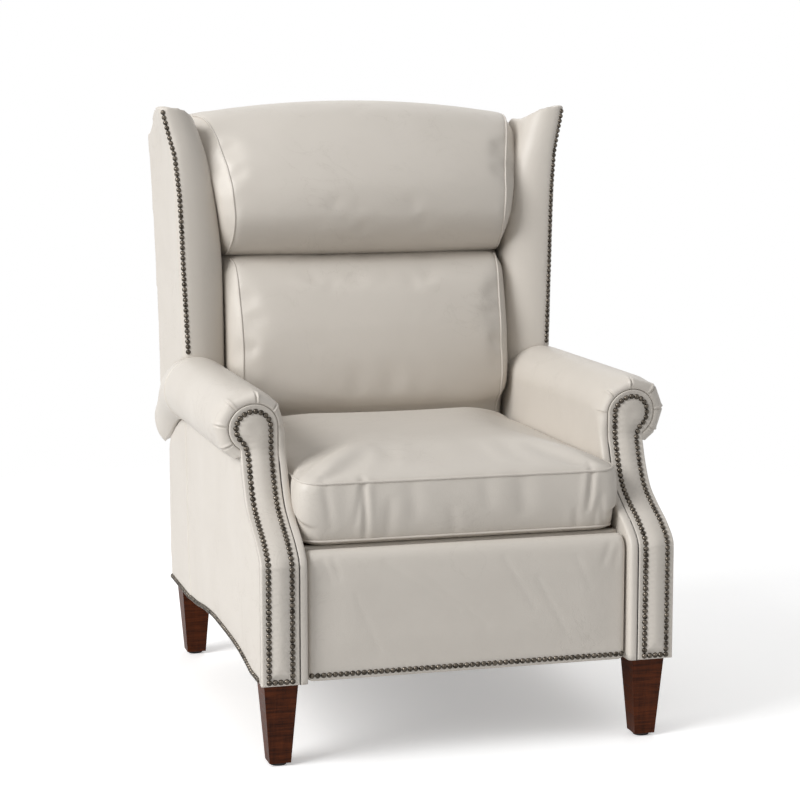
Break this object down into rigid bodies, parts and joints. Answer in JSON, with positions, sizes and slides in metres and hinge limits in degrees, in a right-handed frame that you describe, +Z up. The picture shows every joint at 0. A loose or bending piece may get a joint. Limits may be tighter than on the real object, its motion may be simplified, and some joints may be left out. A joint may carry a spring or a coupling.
{
  "type": "wingback recliner",
  "caption": "Push-back reclining wing chair in smooth leather with rolled arms, nail trim, fold-out footrest and tapered wood legs.",
  "frame": {"origin": "on the floor, in the middle of the chair's width and depth", "axes": "+Z up, the chair faces -Y, +X is the sitter's left"},
  "size_m": [0.811, 0.911, 1.106],
  "materials": {
    "leather": "smooth pale greige leather, semi-matt",
    "leg_wood": "dark reddish-brown stained wood, satin lacquer",
    "frame_wood": "plain sawn hardwood and plywood",
    "mechanism_steel": "black painted pressed steel",
    "nail_metal": "antiqued dark bronze nails, domed and polished on their crowns",
    "glide_plastic": "black nylon",
    "deck_fabric": "black woven deck cloth"
  },
  "bodies": {
    "base": {"rear_panel": "leather", "front_base_rail": "frame_wood", "rear_base_rail": "frame_wood", "front_leg_left": "leg_wood", "front_leg_right": "leg_wood", "rear_leg_left": "leg_wood", "rear_leg_right": "leg_wood", "front_leg_glide_left": "glide_plastic", "front_leg_glide_right": "glide_plastic", "rear_leg_glide_left": "glide_plastic", "rear_leg_glide_right": "glide_plastic", "arm_frame_left": "frame_wood", "arm_frame_right": "frame_wood", "outside_arm_left": "leather", "outside_arm_right": "leather", "arm_pad_left": "leather", "arm_pad_right": "leather", "arm_facing_left": "leather", "arm_facing_right": "leather", "facing_nail_band_left": "nail_metal", "facing_nail_band_right": "nail_metal", "seat_track_left": "mechanism_steel", "seat_track_right": "mechanism_steel", "back_hinge_bracket_left": "mechanism_steel", "back_hinge_bracket_right": "mechanism_steel"},
    "seat_carriage": {"seat_box_front": "frame_wood", "seat_box_rear": "frame_wood", "seat_springs": "mechanism_steel", "seat_deck": "deck_fabric", "seat_cushion": "leather", "seat_box_side_left": "frame_wood", "seat_box_side_right": "frame_wood", "seat_side_plate_left": "mechanism_steel", "seat_side_plate_right": "mechanism_steel"},
    "front_rockers": {"front_rocker_left": "mechanism_steel", "front_rocker_right": "mechanism_steel", "torque_tube": "mechanism_steel"},
    "rear_rockers": {"rear_rocker_left": "mechanism_steel", "rear_rocker_right": "mechanism_steel"},
    "ottoman_arms": {"ottoman_arm_left": "mechanism_steel", "ottoman_arm_right": "mechanism_steel"},
    "control_links": {"control_link_left": "mechanism_steel", "control_link_right": "mechanism_steel"},
    "footrest": {"footrest_board": "frame_wood", "footrest_pad": "leather", "footrest_nail_band": "nail_metal", "footrest_bracket_left": "mechanism_steel", "footrest_bracket_right": "mechanism_steel"},
    "back": {"outer_back": "leather", "lumbar_pillow": "leather", "head_pillow": "leather", "lower_back_rail": "frame_wood", "top_back_rail": "frame_wood", "back_post_left": "frame_wood", "back_post_right": "frame_wood", "wing_left": "leather", "wing_right": "leather"}
  },
  "joints": [
    {"name": "seat_glide", "type": "slide", "parent": "base", "child": "seat_carriage", "axis": [0, -1, 0], "range_m": [0, 0.075]},
    {"name": "front_rocker_swing", "type": "hinge", "parent": "seat_carriage", "child": "front_rockers", "pos_m": [0, -0.3077, 0.31], "axis": [-1, 0, 0], "range_deg": [0, 140.5]},
    {"name": "rear_rocker_swing", "type": "hinge", "parent": "seat_carriage", "child": "rear_rockers", "pos_m": [0, -0.23526, 0.29059], "axis": [-1, 0, 0], "range_deg": [0, 140.5]},
    {"name": "ottoman_arm_swing", "type": "hinge", "parent": "front_rockers", "child": "ottoman_arms", "pos_m": [0, -0.15206, 0.20102], "axis": [1, 0, 0], "range_deg": [0, 140.5]},
    {"name": "control_link_swing", "type": "hinge", "parent": "front_rockers", "child": "control_links", "pos_m": [0, -0.19302, 0.2297], "axis": [1, 0, 0], "range_deg": [0, 140.5]},
    {"name": "footrest_tilt", "type": "hinge", "parent": "ottoman_arms", "child": "footrest", "pos_m": [0, -0.34525, 0.25278], "axis": [-1, 0, 0], "range_deg": [0, 84.5]},
    {"name": "back_recline", "type": "hinge", "parent": "base", "child": "back", "pos_m": [0, 0.3828, 0.43], "axis": [-1, 0, 0], "range_deg": [0, 26]}
  ],
  "couplings": [
    {"joint": "front_rocker_swing", "follows": "seat_glide", "rad_per_m": 32.579},
    {"joint": "rear_rocker_swing", "follows": "seat_glide", "rad_per_m": 32.579},
    {"joint": "ottoman_arm_swing", "follows": "seat_glide", "rad_per_m": 32.579},
    {"joint": "control_link_swing", "follows": "seat_glide", "rad_per_m": 32.579},
    {"joint": "footrest_tilt", "follows": "seat_glide", "rad_per_m": 19.548}
  ]
}
